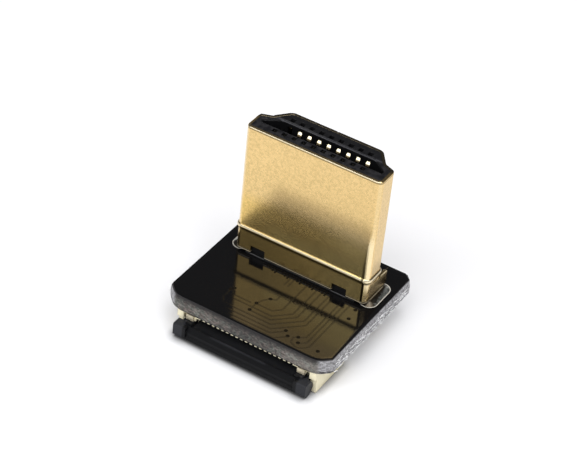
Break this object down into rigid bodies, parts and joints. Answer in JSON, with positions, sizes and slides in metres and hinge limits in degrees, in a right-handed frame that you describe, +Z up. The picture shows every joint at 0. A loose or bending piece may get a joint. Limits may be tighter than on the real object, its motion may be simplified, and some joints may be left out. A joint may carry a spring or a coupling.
{
  "type": "right-angle hdmi plug",
  "caption": "Upright gold-plated plug with a stepped shell on a small black board, with a slide-lock flat-cable connector underneath the front edge.",
  "frame": {"origin": "middle of the outline seen from above, on the plane that the cable connector's outer wall rests on", "axes": "+X along the plug's width, +Y from the cable connector's side to the back edge, +Z up, out of the plug's mouth"},
  "size_m": [0.0174, 0.0164, 0.018],
  "materials": {
    "board_edge": "cut glass-fibre edge, grey with pale fibres",
    "board_lacquer": "glossy black lacquer",
    "ring_metal": "plated, satin",
    "gold_shell": "gold-plated sheet, fine satin grain",
    "black_insulator": "moulded, satin",
    "gold_contact": "gold-plated, bright",
    "solder": "solder, bright satin",
    "ivory_housing": "moulded ivory plastic",
    "black_slider": "moulded, satin",
    "tin_contact": "tin-plated, bright",
    "tin_tab": "tin-plated, satin"
  },
  "bodies": {
    "adapter": {"board_core": "board_edge", "mask_top": "board_lacquer", "mask_bottom": "board_lacquer", "slot_plating": "ring_metal", "plug_shell": "gold_shell", "plug_insulator": "black_insulator", "plug_spacer": "black_insulator", "plug_contact_01": "gold_contact", "plug_contact_02": "gold_contact", "plug_contact_03": "gold_contact", "plug_contact_04": "gold_contact", "plug_contact_05": "gold_contact", "plug_contact_06": "gold_contact", "plug_contact_07": "gold_contact", "plug_contact_08": "gold_contact", "plug_contact_09": "gold_contact", "plug_contact_10": "gold_contact", "plug_contact_11": "gold_contact", "plug_contact_12": "gold_contact", "plug_contact_13": "gold_contact", "plug_contact_14": "gold_contact", "plug_contact_15": "gold_contact", "plug_contact_16": "gold_contact", "plug_contact_17": "gold_contact", "plug_contact_18": "gold_contact", "plug_contact_19": "gold_contact", "leg_solder": "solder", "pin_solder": "solder", "ffc_housing": "ivory_housing", "ffc_contact_01": "tin_contact", "ffc_contact_02": "tin_contact", "ffc_contact_03": "tin_contact", "ffc_contact_04": "tin_contact", "ffc_contact_05": "tin_contact", "ffc_contact_06": "tin_contact", "ffc_contact_07": "tin_contact", "ffc_contact_08": "tin_contact", "ffc_contact_09": "tin_contact", "ffc_contact_10": "tin_contact", "ffc_contact_11": "tin_contact", "ffc_contact_12": "tin_contact", "ffc_contact_13": "tin_contact", "ffc_contact_14": "tin_contact", "ffc_contact_15": "tin_contact", "ffc_contact_16": "tin_contact", "ffc_contact_17": "tin_contact", "ffc_contact_18": "tin_contact", "ffc_contact_19": "tin_contact", "ffc_contact_20": "tin_contact", "ffc_tab_left": "tin_tab", "ffc_tab_right": "tin_tab", "ffc_solder": "solder"},
    "slider": {"ffc_slider": "black_slider"}
  },
  "joints": [
    {"name": "slider_travel", "type": "slide", "parent": "adapter", "child": "slider", "axis": [0, -1, 0], "range_m": [0, 0.0012]}
  ]
}
